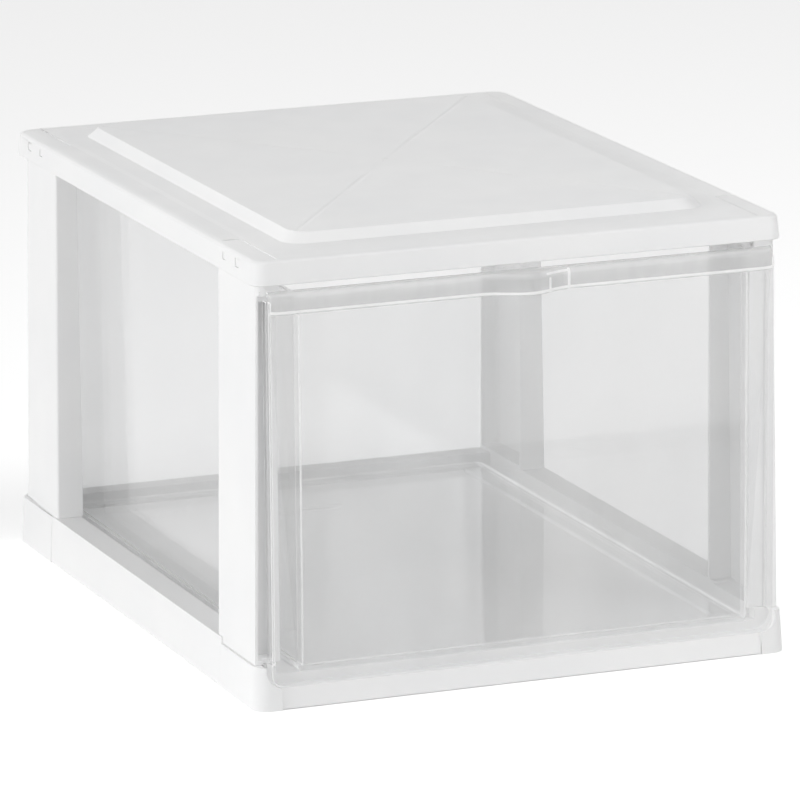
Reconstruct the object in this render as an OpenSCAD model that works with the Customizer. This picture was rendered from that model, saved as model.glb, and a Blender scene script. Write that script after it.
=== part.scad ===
// Stackable drawer box: a white frame of a top panel, a base frame and four
// corner posts, and a clear one-piece drawer that slides out to the front (-Y).
// The origin is on the table, under the middle of the whole box.

/* [Frame] */
// Width of the top panel across its upper edge
frame_w = 300; // [280:1:320]
// Depth of the top panel across its upper edge
frame_d = 390; // [360:1:410]
// Height of the corner pads of the top panel above the table
frame_h = 241; // [236:0.5:250]
// Thickness of the moulded walls of the frame
frame_wall = 2.4; // [2:0.1:2.8]

/* [Top panel] */
// Height of the skirt that hangs down around the edge
skirt_h = 13.1; // [12:0.1:15]
// How far the foot of the skirt stands out beyond the upper edge
skirt_flare = 0.9; // [0.5:0.1:1.2]
// Radius of the panel's corners seen from above
top_corner_r = 8; // [6:0.5:10]
// Width of the border around the raised middle
border_w = 31; // [28:0.5:34]
// Height of the raised middle above the border
middle_rise = 4.8; // [3:0.1:6]
// Width of the sloping edge of the raised middle
bevel_w = 4; // [3:0.5:5]
// Height of the shallow pyramid on the raised middle
pyramid_rise = 1; // [0.6:0.1:2]
// Depth of the corner pads that take the feet of the box above
pad_depth = 0.6; // [0.4:0.1:0.8]

/* [Base frame] */
// Height of the rails
base_h = 26.8; // [25:0.2:30]
// How far the upper edge of the base stands out beyond the top panel
base_flare_top = 1.6; // [1:0.1:2]
// How far the foot of the base stands out beyond the top panel
base_flare_foot = 3; // [2.5:0.1:4]
// Distance from the middle to the inner face of the side rails
rail_inner_x = 136; // [135.5:0.5:137]
// Distance from the middle to the inner face of the back rail
rail_inner_y = 182; // [180:0.5:184]
// Height of the low front rail under the drawer's front
front_rail_h = 12; // [10:0.5:12]
// Height of the front corner blocks
front_block_h = 23.5; // [22:0.5:25]
// Height of the underside of the floor
floor_z = 15; // [13:0.5:16]
// How much lower the feet are than the rails between them
foot_drop = 1.5; // [1:0.1:2]

/* [Posts] */
// Distance from the middle to the inner face of a post
post_inner_x = 135; // [134.5:0.5:136]
// Width of a post across its top, from its inner to its outer face
post_w = 12.5; // [11:0.5:13]
// Length of a post from front to back, at its top
post_l = 59; // [50:1:61]
// How far the foot of a post leans outwards
post_lean = 3; // [1:0.5:3]

/* [Drawer] */
// Outer width of the drawer's box
drawer_w = 257; // [250:1:260]
// Thickness of the drawer's walls
drawer_wall = 2.2; // [1.8:0.1:2.6]
// Height of the drawer's underside above the table
drawer_z = 20; // [19.9:0.1:21]
// Height of the drawer's rim above the table
drawer_top = 224.8; // [215:0.2:226]
// Width of the drawer's front
front_w = 289; // [284:0.5:290]
// Height of the lower edge of the drawer's front
front_z = 12.6; // [12.4:0.1:14]
// Radius of the lower corners of the drawer's front
front_corner_r = 7; // [4:0.5:9]
// Height of the lip along the top of the drawer's front
lip_h = 11.6; // [9:0.2:13]
// Width of the finger tab in the middle of the lip
tab_w = 50; // [40:1:60]
// How far the finger tab stands out from the lip
tab_out = 8; // [7:0.5:9]
// How far the drawer slides out before it meets its stop
drawer_travel = 300; // [250:5:320]

/* [Hidden] */
$fn = 48;

over = 1;         // how far a cut runs past a face
arc_steps = 8;    // straight steps in the quarter round of an outline
edge_steps = 4;   // straight steps in the quarter round of a small edge

// Y positions of the frame, whose own middle is at y = 0 before it is placed
half_w = frame_w / 2;
half_d = frame_d / 2;
front_y = -(half_d + 3.5);            // outer face of the drawer's front
lip_y = front_y - 2.8;                // outer face of the lip
tab_y = lip_y - tab_out;              // foremost point of the drawer
base_back_y = half_d + base_flare_foot;
place_y = -(tab_y + base_back_y) / 2; // puts the origin under the whole box

// Top panel
skirt_z = frame_h - skirt_h;
ledge_z = frame_h + pad_depth;        // outer ledge between the corner pads
inner_ledge_z = ledge_z + 0.8;
middle_z = inner_ledge_z + middle_rise;
band_x = half_w - 14;                 // foot of the sloping band, from the middle
band_w = 3.5;
pad_inner_x = band_x + 0.5;
pad_inner_y = 138;
middle_w = frame_w - 2 * border_w;
middle_d = frame_d - 2 * border_w;
middle_r = 13;
gate_r = 2.5;
snaps = [[154, 3, 4.4], [177, 6, 3.8]]; // y, length and height of the snap windows
snap_z = skirt_z + 8.7;
snap_gap = 0.4;

// Base frame
block_x = 138;                        // inner side of the corner blocks
block_y = 140;
block_proud = 0.5;                    // the blocks stand proud of the rails
recess_x = 147.3;                     // side of the recess for the drawer's front
recess_y = -(half_d - 7);             // back of that recess
floor_top = floor_z + frame_wall;
runner_x = 118;
runner_w = 7;
runner_z = drawer_z - 0.2;
stop_l = 4;
stop_w = 40;

// Posts
post_top = frame_h - frame_wall;
post_far_y = half_d - 3;
post_near_y = post_far_y - post_l;
post_corner_r = 5;
post_edge_r = 1.5;
post_recess_y = half_d - 9;           // front face behind the drawer's front
post_tip_y = half_d - 5.5;            // edge of the skin beside it
post_block_z = drawer_top - 2.8;      // underside of the block over the recess
post_recess_x = half_w - 4;           // side of the recess, inside a thin skin
post_steps = 6;                       // straight steps in the round edge of a post
plug_d = 12;
plug_gap = 0.3;

// Drawer
drawer_back_y = half_d - 17;
drawer_corner_r = 7;
bottom_r = 3;
front_t = 2.4;
front_back_y = front_y + front_t;
side_return = 10.5;                   // depth of the rims at the front's sides
lip_back_y = front_y + 4.5;
lip_z = drawer_top - lip_h;
lip_r = 4;
rim_out = 3;
ridge_z = drawer_z - 2;

// Outline of a rectangle with round corners about the middle
function rounded(w, d, r) = [
    for (corner = [0:3], i = [0:arc_steps])
        let (angle = 90 * (corner + i / arc_steps),
             side_x = corner == 0 || corner == 3 ? 1 : -1,
             side_y = corner < 2 ? 1 : -1)
        [side_x * (w / 2 - r) + r * cos(angle), side_y * (d / 2 - r) + r * sin(angle)]
];

module place() {
    translate([0, place_y, 0]) children();
}

// Solid through level rings [width, depth, corner radius, height], from the lowest up
module loft(rings) {
    n = len(rounded(1, 1, 0));
    top = n * (len(rings) - 1);
    polyhedron(
        points = [for (ring = rings, p = rounded(ring[0], ring[1], ring[2])) [p.x, p.y, ring[3]]],
        faces = concat(
            [[for (i = [0:n - 1]) i], [for (i = [n - 1:-1:0]) top + i]],
            [for (low = [0:n:top - n], i = [0:n - 1]) let (next = (i + 1) % n)
                [low + i, low + n + i, low + n + next]],
            [for (low = [0:n:top - n], i = [0:n - 1]) let (next = (i + 1) % n)
                [low + i, low + n + next, low + next]]));
}

// Block with its near corner at low and its far corner at high
module block(low, high) {
    translate(low) cube(high - low);
}

// The children four times, mirrored about both middle planes
module four_ways() {
    for (sx = [0, 1], sy = [0, 1])
        mirror([sx, 0, 0]) mirror([0, sy, 0]) children();
}

// ---- top panel ----

// Skirt and plate in one, with a rounded upper edge
module skirt_form() {
    edge = 1.6;
    loft([[frame_w + 2 * skirt_flare, frame_d + 2 * skirt_flare, top_corner_r, skirt_z],
          [frame_w, frame_d, top_corner_r, ledge_z - edge],
          [frame_w - 0.6 * edge, frame_d - 0.6 * edge, top_corner_r, ledge_z - 0.3 * edge],
          [frame_w - 2 * edge, frame_d - 2 * edge, top_corner_r - edge, ledge_z]]);
}

// Space inside the skirt, up to the underside of the plate
module skirt_space() {
    w = frame_w - 2 * frame_wall;
    d = frame_d - 2 * frame_wall;
    r = top_corner_r - frame_wall;
    loft([[w + 2 * skirt_flare, d + 2 * skirt_flare, r, skirt_z - over / 4],
          [w, d, r, post_top]]);
}

// Raised middle with its sloping edge and shallow pyramid, drawn in by inset and
// lowered by drop
module middle_form(inset, drop) {
    w = middle_w - 2 * inset;
    d = middle_d - 2 * inset;
    top_w = w - 2 * bevel_w;
    top_d = d - 2 * bevel_w;
    loft([[w, d, middle_r, ledge_z - drop - over],
          [w, d, middle_r, inner_ledge_z - drop],
          [top_w, top_d, middle_r - 3, middle_z - drop],
          [2 * gate_r, 2 * gate_r, gate_r / 2, middle_z + pyramid_rise - drop]]);
}

// Sloping band that steps up to the inner ledge
module band_form() {
    w = 2 * band_x;
    d = w + frame_d - frame_w;
    loft([[w, d, top_corner_r, ledge_z - over],
          [w, d, top_corner_r, ledge_z],
          [w - 2 * band_w, d - 2 * band_w, top_corner_r, inner_ledge_z]]);
}

module top_panel() {
    color("white") place() difference() {
        union() {
            skirt_form();
            band_form();
            middle_form(0, 0);
        }
        skirt_space();
        middle_form(frame_wall, frame_wall);
        // pads for the feet of the box above
        four_ways() block([pad_inner_x, pad_inner_y, frame_h],
                          [half_w + over, half_d + over, middle_z]);
        // windows for the snaps of the posts
        four_ways() for (snap = snaps)
            block([half_w - frame_wall - over, snap[0] - snap[1] / 2, snap_z - snap[2] / 2],
                  [half_w + 2, snap[0] + snap[1] / 2, snap_z + snap[2] / 2]);
        // gate mark
        translate([0, 0, middle_z + pyramid_rise - 0.4]) cylinder(r = gate_r, h = over);
    }
}

// ---- base frame ----

// Flared plinth, drawn in all round by inset
module plinth(inset) {
    foot = 2 * (base_flare_foot - inset);
    head = 2 * (base_flare_top - inset);
    loft([[frame_w + foot, frame_d + foot, top_corner_r, 0],
          [frame_w + head, frame_d + head, top_corner_r, base_h]]);
}

// Corner block in the quarter x > 0, y > 0
module corner_column() {
    block([block_x, block_y, 0], [half_w + 5, half_d + 5, base_h]);
}

module base_body() {
    difference() {
        plinth(block_proud);
        block([-half_w - 5, -half_d - 5, -over], [half_w + 5, half_d + 5, foot_drop]);
    }
    intersection() {
        plinth(0);
        four_ways() corner_column();
    }
}

module base_frame() {
    rail_roof = base_h - frame_wall;
    skin_x = half_w + base_flare_top - frame_wall - block_proud;
    skin_y = half_d + base_flare_top - frame_wall - block_proud;
    front_low = -(half_d + 5);
    color("white") place() {
        difference() {
            base_body();
            // bay for the drawer, above the floor
            block([-rail_inner_x, -rail_inner_y, floor_top], [rail_inner_x, rail_inner_y, base_h + over]);
            block([-block_x, front_low, floor_top], [block_x, -rail_inner_y + over, base_h + over]);
            // recess that takes the lower edge of the drawer's front
            block([-recess_x, front_low, front_rail_h], [recess_x, recess_y, base_h + over]);
            // the front corner blocks are lower than the rails
            for (side = [0, 1]) mirror([side, 0, 0])
                block([rail_inner_x - over, front_low, front_block_h],
                      [half_w + 5, -block_y, base_h + over]);
            // hollow under the floor that takes the raised middle of a box below
            block([-rail_inner_x, -rail_inner_y, -over], [rail_inner_x, rail_inner_y, floor_z]);
            // hollow side rails
            for (side = [0, 1]) mirror([side, 0, 0])
                block([rail_inner_x + frame_wall, -block_y + frame_wall, -over],
                      [skin_x, block_y - frame_wall, rail_roof]);
            // hollow back and front rails
            block([-block_x + frame_wall, rail_inner_y + frame_wall, -over],
                  [block_x - frame_wall, skin_y, rail_roof]);
            block([-block_x + frame_wall, -skin_y, -over],
                  [block_x - frame_wall, recess_y - frame_wall, front_rail_h - frame_wall]);
            // pockets for the plugs of the posts
            for (side = [0, 1]) mirror([side, 0, 0]) {
                block([block_x + frame_wall, block_y + frame_wall, frame_wall],
                      [skin_x, skin_y, base_h + over]);
                block([block_x + frame_wall, recess_y + frame_wall, frame_wall],
                      [skin_x, -block_y - frame_wall, base_h + over]);
            }
        }
        // runners under the drawer
        for (side = [0, 1]) mirror([side, 0, 0])
            block([runner_x, -rail_inner_y + 4, floor_top - frame_wall / 2],
                  [runner_x + runner_w, rail_inner_y - 4, runner_z]);
        // stop for the ridge under the drawer
        block([-stop_w / 2, -rail_inner_y + 2, floor_top - frame_wall / 2],
              [stop_w / 2, -rail_inner_y + 2 + stop_l, drawer_z - 0.6]);
    }
}

// ---- posts ----

// Leaning prism from z = foot up to z = top, between the corners near and far of its
// foot, both given as [x, y]; its head is drawn in to the corner head
module leaning(near, far, head, foot, top, r, edge = 0) {
    size = far - near;
    shrink = [(head.x - near.x) / size.x, (head.y - near.y) / size.y];
    translate([near.x, near.y, foot]) linear_extrude(top - foot, scale = shrink, slices = 1) polygon(concat(
        [[0, 0], [size.x - edge, 0], [size.x, edge]],
        [for (i = [0:post_steps]) let (a = 90 * i / post_steps)
            [size.x - r + r * cos(a), size.y - r + r * sin(a)]],
        [[0, size.y]]));
}

// Channel open to the inside of the box, from height foot up to the top panel
module post_channel(foot) {
    lean = post_lean * (post_top - foot) / (post_top - front_block_h);
    head = [post_inner_x + post_w, post_far_y];
    wall = [frame_wall, frame_wall];
    difference() {
        leaning([post_inner_x, post_near_y], head + [lean, lean], head,
                foot, post_top, post_corner_r, post_edge_r);
        leaning([post_inner_x - over, post_near_y + frame_wall], head + [lean, lean] - wall,
                head - wall, foot + frame_wall, post_top - frame_wall,
                post_corner_r - frame_wall);
    }
}

// Plug under a post, and the snaps at its top
module post_joints(foot, plug_far_y) {
    skin_x = half_w + base_flare_top - frame_wall - block_proud;
    block([block_x + frame_wall + plug_gap, block_y + frame_wall + plug_gap, foot - plug_d],
          [skin_x - plug_gap, plug_far_y - plug_gap, foot + over]);
    for (snap = snaps) {
        half = [snap[1] / 2 - snap_gap, snap[2] / 2 - snap_gap];
        block([post_inner_x + post_w - over, snap[0] - half.x, snap_z - half.y],
              [half_w - 0.6, snap[0] + half.x, snap_z + half.y]);
    }
}

module back_post() {
    post_channel(base_h);
    post_joints(base_h, half_d + base_flare_top - frame_wall - block_proud);
}

module front_post() {
    difference() {
        union() {
            post_channel(front_block_h);
            // thicker front wall behind the recess
            block([post_inner_x, post_recess_y - frame_wall, front_block_h + 0.5],
                  [half_w - 3.5, post_recess_y + 0.5, post_top - 0.5]);
        }
        // the part over the rail stands on the rail
        block([post_inner_x - over, post_near_y - over, front_block_h - over],
              [half_w + 5, block_y, base_h]);
        // recess for the rim of the drawer's front, under the top block
        block([post_inner_x - over, post_recess_y, front_block_h - over],
              [post_recess_x, post_tip_y + over, post_block_z]);
        block([post_inner_x - over, post_tip_y, front_block_h - over],
              [half_w + 5, half_d + 5, post_block_z]);
    }
    post_joints(front_block_h, -recess_y - frame_wall);
}

module post_front_left() {
    color("white") place() mirror([1, 0, 0]) mirror([0, 1, 0]) front_post();
}

module post_front_right() {
    color("white") place() mirror([0, 1, 0]) front_post();
}

module post_back_left() {
    color("white") place() mirror([1, 0, 0]) back_post();
}

module post_back_right() {
    color("white") place() back_post();
}

// ---- drawer ----

// Rectangle with truly round corners about the middle
module plan(w, d, r) {
    square([w, d - 2 * r], center = true);
    square([w - 2 * r, d], center = true);
    for (x = [-w / 2 + r, w / 2 - r], y = [-d / 2 + r, d / 2 - r])
        translate([x, y]) circle(r = r);
}

// Section of a tub, with its lower corners drawn round in straight steps
module tub_section(near, far, low, top, r) {
    polygon(concat(
        [[near, top]],
        [for (i = [0:edge_steps]) let (a = 180 + 90 * i / edge_steps)
            [near + r + r * cos(a), low + r + r * sin(a)]],
        [for (i = [0:edge_steps]) let (a = 270 + 90 * i / edge_steps)
            [far - r + r * cos(a), low + r + r * sin(a)]],
        [[far, top]]));
}

// Box of the drawer, shrunk by inset, up to height top, square at its front y = near
module drawer_form(inset, top, near) {
    half = drawer_w / 2 - inset;
    far = drawer_back_y - inset;
    low = drawer_z + inset;
    r = bottom_r - inset / 2;
    corner_r = drawer_corner_r - inset;
    intersection() {
        translate([0, (near - corner_r + far) / 2, low])
            linear_extrude(top - low) plan(2 * half, far - near + corner_r, corner_r);
        upright(near, far + over) tub_section(-half, half, low, top + over, r);
        translate([-half - over, 0, 0]) rotate([90, 0, 90]) linear_extrude(2 * half + 2 * over)
            tub_section(near - 4 * over, far, low, top + over, r);
    }
}

// Rim that stands out around the top of the box
module drawer_rim() {
    near = front_back_y - drawer_corner_r - rim_out;
    far = drawer_back_y + rim_out;
    intersection() {
        translate([0, (near + far) / 2, drawer_top - drawer_wall]) linear_extrude(drawer_wall)
            plan(drawer_w + 2 * rim_out, far - near, drawer_corner_r + rim_out);
        block([-half_w, front_back_y - 0.5, 0], [half_w, half_d, frame_h]);
    }
}

// Front of the drawer with round lower corners, as seen from the front
module front_outline() {
    half = front_w / 2;
    r = front_corner_r;
    head = drawer_top - lip_h / 2;
    translate([-half, front_z + r]) square([2 * half, head - front_z - r]);
    translate([-half + r, front_z]) square([2 * (half - r), 2 * r]);
    for (x = [-half + r, half - r]) translate([x, front_z + r]) circle(r = r);
}

// Extrudes an outline drawn in X and Z from y = near back to y = far
module upright(near, far) {
    translate([0, far, 0]) rotate([90, 0, 0]) linear_extrude(far - near) children();
}

module drawer_front() {
    upright(front_y, front_back_y) front_outline();
    // rims turned back along both sides, clear of the corner blocks of the base
    for (side = [0, 1]) mirror([side, 0, 0])
        block([front_w / 2 - drawer_wall, front_y + 0.5, front_block_h + 1],
              [front_w / 2, front_y + side_return, post_block_z - 2.5]);
}

// Lip along the top of the front, with a rounded upper edge
module lip_bar() {
    half = front_w / 2 - 1.1;
    translate([-half, 0, 0]) rotate([90, 0, 90]) linear_extrude(2 * half) polygon(concat(
        [[lip_back_y, drawer_top], [lip_back_y, drawer_top - drawer_wall],
         [front_back_y, drawer_top - drawer_wall], [front_back_y, lip_z], [lip_y, lip_z]],
        [for (i = [0:arc_steps]) let (a = 180 - 90 * i / arc_steps)
            [lip_y + lip_r + lip_r * cos(a), drawer_top - lip_r + lip_r * sin(a)]]));
}

// Finger tab, a bump in plan that stands out by tab_out, shrunk by inset
module tab_form(inset, z0, z1) {
    half = tab_w / 2 - inset;
    out = tab_out - inset / 2;
    far = lip_y + 1 + inset / 2;
    translate([0, 0, z0]) linear_extrude(z1 - z0) polygon(concat(
        [for (i = [0:2 * arc_steps]) let (x = half * (i / arc_steps - 1))
            [x, lip_y + inset / 2 - out * (0.5 + 0.5 * cos(180 * x / half))]],
        [[half, far], [-half, far]]));
}

module drawer_body() {
    ridge_y = -rail_inner_y + 2 + stop_l + 0.5 + drawer_travel;
    difference() {
        union() {
            drawer_form(0, drawer_top, front_back_y - 0.5);
            drawer_rim();
            drawer_front();
            lip_bar();
            tab_form(0, lip_z, drawer_top - 1);
            // ridge under the floor that meets the stop of the base
            block([-stop_w / 2, ridge_y, ridge_z], [stop_w / 2, ridge_y + 3, drawer_z + over]);
        }
        // inside of the box
        drawer_form(drawer_wall, drawer_top + over, front_back_y);
        // finger hollow, open below
        tab_form(drawer_wall, lip_z - over, drawer_top - 1 - drawer_wall);
    }
    // gate mark on the floor
    translate([0, 0, drawer_z + drawer_wall - 0.5]) cylinder(r = 2.5, h = 1);
}

module drawer() {
    color([0.9, 0.92, 0.93, 0.45]) place() drawer_body();
}

top_panel();
base_frame();
post_front_left();
post_front_right();
post_back_left();
post_back_right();
drawer();
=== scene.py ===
"""Looks of the stackable drawer box: a white snap-together frame and a clear drawer."""
import math

import bmesh
import bpy
from mathutils import Matrix, Vector


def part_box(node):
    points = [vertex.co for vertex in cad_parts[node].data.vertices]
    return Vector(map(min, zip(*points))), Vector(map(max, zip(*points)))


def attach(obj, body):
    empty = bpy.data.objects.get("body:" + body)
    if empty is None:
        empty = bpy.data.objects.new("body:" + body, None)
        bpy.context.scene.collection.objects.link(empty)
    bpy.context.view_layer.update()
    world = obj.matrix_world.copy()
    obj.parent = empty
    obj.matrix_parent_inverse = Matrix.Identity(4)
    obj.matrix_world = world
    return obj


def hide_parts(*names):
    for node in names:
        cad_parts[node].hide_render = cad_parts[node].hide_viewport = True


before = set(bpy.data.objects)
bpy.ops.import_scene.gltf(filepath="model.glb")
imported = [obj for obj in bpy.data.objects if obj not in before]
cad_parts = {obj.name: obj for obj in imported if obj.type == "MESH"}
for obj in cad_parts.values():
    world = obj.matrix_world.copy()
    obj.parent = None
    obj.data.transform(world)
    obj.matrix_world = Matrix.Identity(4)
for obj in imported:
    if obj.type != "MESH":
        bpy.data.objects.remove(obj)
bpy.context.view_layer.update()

MM = 0.001

# ---- camera: where it stands and how it looks, in the model's frame ----
CAMERA_AT = Vector((-1295.8, -3302.15, 959.5)) * MM
CAMERA_YAW = math.radians(21.5)        # turned from +Y towards +X
CAMERA_PITCH = math.radians(13.43)     # looking down
CAMERA_ROLL = math.radians(-0.48)
CAMERA_SENSOR = 36.0
CAMERA_LENS = 295.65
CAMERA_FAR = 50.0                      # metres up to which the camera sees


def add_camera():
    """Camera at the photograph's viewing angle."""
    yaw, pitch = CAMERA_YAW, CAMERA_PITCH
    right = Vector((math.cos(yaw), -math.sin(yaw), 0))
    look = Vector((math.sin(yaw) * math.cos(pitch),
                   math.cos(yaw) * math.cos(pitch),
                   -math.sin(pitch)))
    up = right.cross(look)
    tilted_right = right * math.cos(CAMERA_ROLL) + up * math.sin(CAMERA_ROLL)
    tilted_up = up * math.cos(CAMERA_ROLL) - right * math.sin(CAMERA_ROLL)
    data = bpy.data.cameras.new("photo_camera")
    data.sensor_width = CAMERA_SENSOR
    data.lens = CAMERA_LENS
    data.clip_end = CAMERA_FAR
    camera = bpy.data.objects.new("photo_camera", data)
    turn = Matrix((tilted_right, tilted_up, -look)).transposed()
    camera.matrix_world = Matrix.Translation(CAMERA_AT) @ turn.to_4x4()
    bpy.context.scene.collection.objects.link(camera)
    bpy.context.scene.camera = camera


# ---- sizes in millimetres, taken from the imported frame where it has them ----
def corners(name):
    """Lowest and highest corner of a CAD node at rest, in millimetres."""
    low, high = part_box(name)
    return Vector(low) / MM, Vector(high) / MM


TOP_LOW, TOP_HIGH = corners("top_panel")
BASE_HIGH = corners("base_frame")[1]
DRAWER_LOW, DRAWER_HIGH = corners("drawer")

MID_Y = (TOP_LOW.y + TOP_HIGH.y) / 2   # the frame's own middle, seen from above
WALL = 2.4                             # moulded walls of the frame
CORNER_R = 8.0                         # corners of the frame, seen from above

# Top panel
FLARE = 0.9                            # how far the skirt's foot stands out
HALF_W = TOP_HIGH.x - FLARE
HALF_D = (TOP_HIGH.y - TOP_LOW.y) / 2 - FLARE
SKIRT_Z = TOP_LOW.z
RIDGE_RISE = 1.0                       # height of the shallow pyramid
BEVEL_RISE = 5.3                       # height of the sloped edge of the raised middle
BAND_RISE = 0.3                        # height of the narrow step in the border
MIDDLE_Z = TOP_HIGH.z - RIDGE_RISE
INNER_LEDGE_Z = MIDDLE_Z - BEVEL_RISE
LEDGE_Z = INNER_LEDGE_Z - BAND_RISE
PAD_Z = LEDGE_Z - 0.35                 # corner pads for the feet of the box above
PLATE_Z = LEDGE_Z - WALL - 0.6         # underside of the plate, where the posts end
BORDER_W = 29.6                        # from the skirt to the raised middle
BEVEL_W = 5.4
MIDDLE_R = 10.0                        # corners of the raised middle
BORDER_R = 13.0                        # inner corners of the border
BAND_IN = 14.0                         # from the skirt to the narrow step
BAND_W = 3.5
PAD_X = HALF_W - BAND_IN + 0.5
PAD_Y = 138.0
GATE_R = 2.5                           # dimple of the moulding gate
GATE_SIDES = 24
SNAP_Z = SKIRT_Z + 8.0
SMALL_SNAP = (150.0, 4.6, 4.0, 0.6)    # y, length, height and outer radius of a snap window
ROUND_SNAP = (170.0, 7.0, 4.4, 2.2)

# Base frame
BASE_H = BASE_HIGH.z
FOOT_OUT = BASE_HIGH.x - HALF_W        # how far the foot stands out
HEAD_OUT = 1.6                         # the same at the upper edge
BLOCK_X = 138.0                        # inner corner of a corner block
BLOCK_Y = 140.0
BLOCK_PROUD = 0.5                      # how far corner blocks stand out from the rails
BLOCK_Z = 23.5                         # top of the front corner blocks
RAIL_X = 136.0                         # inner faces of the rails
RAIL_Y = 182.0
FRONT_RAIL_Z = 12.0                    # top of the front rail
FLOOR_Z = 15.0                         # underside of the floor
FLOOR_TOP = FLOOR_Z + WALL
FOOT_GAP = 0.5                         # gap under the rails, between the corner blocks
INSIDE_X = HALF_W + HEAD_OUT - WALL - BLOCK_PROUD   # inner faces of the outer walls
INSIDE_Y = HALF_D + HEAD_OUT - WALL - BLOCK_PROUD
RECESS_X = 146.4                       # recess for the lower edge of the drawer's front
RECESS_Y = HALF_D - 7
SLOT_X = -RECESS_X + 0.4               # slot beside the left edge of the drawer's front
SLOT_W = 2.8
SLOT_DEPTH = 1.6
SLOT_Z = FRONT_RAIL_Z + 4
RUNNER_X = 118.0
RUNNER_W = 7.0
RUNNER_END = 4.0                       # from the end of a runner to the rail
RUNNER_DOWN = 0.2                      # from the drawer down to the runners
STOP_X = 20.0                          # half the width of the stop's rib and ridge
STOP_RIB_IN = (2.0, 6.0)               # near and far side of the stop rib, from the front rail
STOP_RIB_DOWN = 0.6                    # from the drawer down to the stop rib

# Posts, as they stand in the back right corner
POST_IN_X = 135.0                      # inner and outer side at the top
POST_OUT_X = 147.5
POST_FAR_Y = HALF_D - 3
POST_NEAR_Y = POST_FAR_Y - 59
POST_LEAN = 3.0                        # how far the foot leans outwards
POST_R = 5.0                           # far outer corner
POST_EDGE_R = 1.5                      # near outer corner
TILT_Y = 154.0                         # where the outer side of a back post turns inwards
BACK_TILT = 1.8
PLUG_LENGTH = 12.0                     # plug in the base
PLUG_GAP = 0.3                         # play of the plug in its pocket
PLUG_Y = RECESS_Y - WALL               # front end of the plug under a front post
SNAP_GAP = 0.1                         # play of a snap in its window

# Front posts, with a recess for the side of the drawer's front
POST_RECESS_X = HALF_W - 4             # end of the recess in the left post
RIGHT_GAP = 0.3                        # from the drawer's front to the end of the right one
POST_RECESS_Y = HALF_D - 9
POST_TIP_Y = HALF_D - 5.5              # front end of the post beside the drawer's front
POST_ROOF_DOWN = 2.8                   # from the drawer's top down to the roof of the recess
RECESS_WALL_IN = 3.5                   # from the skirt to the end of the wall behind the recess
TIP_WALL_IN = 1.6                      # from the post's outer side to the fill in its tip
GROOVE_X = 139.5                       # inner side of the groove in the left post's recess
GROOVE_DEPTH = 8.0
GROOVE_WALL = 1.5                      # walls of the groove at its back and inner side
GROOVE_WALL_IN = 1.8                   # from the post's outer side to the groove
GROOVE_FOOT = 2.5                      # from the post's foot up to the groove
GROOVE_HEAD = 4.0                      # from the groove up to the roof of the recess

# Drawer
DRAWER_WALL = 2.2
DRAWER_TOP = DRAWER_HIGH.z
DRAWER_Z = 20.0
TUB_X = 128.5                          # half the width of the drawer's box
TUB_BACK = HALF_D - 17
TUB_R = 7.0
FRONT_Y = -(HALF_D + 3.5)              # outer face of the drawer's front
FRONT_BACK = FRONT_Y + 2.4
FRONT_X = 144.0
FRONT_Z = DRAWER_LOW.z
FRONT_R = 7.0
LIP_Y = FRONT_Y - 2.8                  # outer face of the lip
LIP_BACK = FRONT_Y + 4.5
LIP_Z = DRAWER_TOP - 11.6              # its lower edge
LIP_X = 143.4                          # half its length
LIP_TOP_R = 3.5
LIP_END_R = 7.0                        # ends of the lip: length and depth of their curve
LIP_END_DEPTH = 3.8
LIP_EDGE_R = 0.8                       # bead along the lower edge of the lip
LIP_EDGE_OUT = 0.5                     # how far the bead stands out from the lip's face
TAB_X = 25.0                           # half the width of the finger tab
TAB_OUT = 8.0
TAB_EDGE = 3.5                         # solid ends of the tab, beside its hollow
RETURN_DEPTH = 9.0                     # rims turned back along the front's sides
RETURN_DOWN = 5.3                      # from the drawer's top to these rims
RETURN_IN = 0.6                        # from the outer face of the front to these rims
PLATE_DOWN = 5.0                       # from the drawer's top to the plate, within the lip
RIM_OUT = 3.0
RIDGE_Y = (124.5, 127.5)               # stop ridge under the drawer
RIDGE_Z = (DRAWER_Z - 2, DRAWER_Z + 0.5)

OVER = 1.0                             # how far a cutting block runs past a face
PAST = 5.0                             # how far it runs past the outside of the frame
FAR_PAST = 9.0                         # the same, where it has to clear the flared foot
SINK = 0.5                             # how far an added block reaches into its neighbours
ARC_STEPS = 8                          # faces in a quarter round, seen from above


# ---- shapes: closed meshes in millimetres about the frame's own middle ----
def rounded(low, high, near_r, far_r, z):
    """Level outline from corner low to corner high, [x, y], with round corners."""
    points = []
    for corner in range(4):
        right, far = corner in (0, 3), corner < 2
        r = far_r if far else near_r
        centre = (high[0] - r if right else low[0] + r, high[1] - r if far else low[1] + r)
        for i in range(ARC_STEPS + 1):
            angle = math.pi / 2 * (corner + i / ARC_STEPS)
            points.append(Vector((centre[0] + r * math.cos(angle),
                                  centre[1] + r * math.sin(angle), z)))
    return points


def centred(half_x, half_y, r, z):
    """The same, about the middle."""
    return rounded((-half_x, -half_y), (half_x, half_y), r, r, z)


def soften(path, steps=4):
    """Path with its corners drawn round.

    Each point is (a, b, other values, radius), and the corner lies in the plane of a and b.
    """
    soft = []
    for i, point in enumerate(path):
        radius = point[-1]
        here = Vector(point[:-1])
        if radius == 0 or i in (0, len(path) - 1):
            soft.append(here)
            continue
        before, after = Vector(path[i - 1][:-1]) - here, Vector(path[i + 1][:-1]) - here
        turn = math.pi - Vector(before[:2]).angle(Vector(after[:2]))
        reach = radius * math.tan(turn / 2)
        start = here + before * min(reach / Vector(before[:2]).length, 0.49)
        end = here + after * min(reach / Vector(after[:2]).length, 0.49)
        for k in range(steps + 1):
            t = k / steps
            soft.append(start * (1 - t) ** 2 + here * 2 * t * (1 - t) + end * t ** 2)
    return soft


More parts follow.
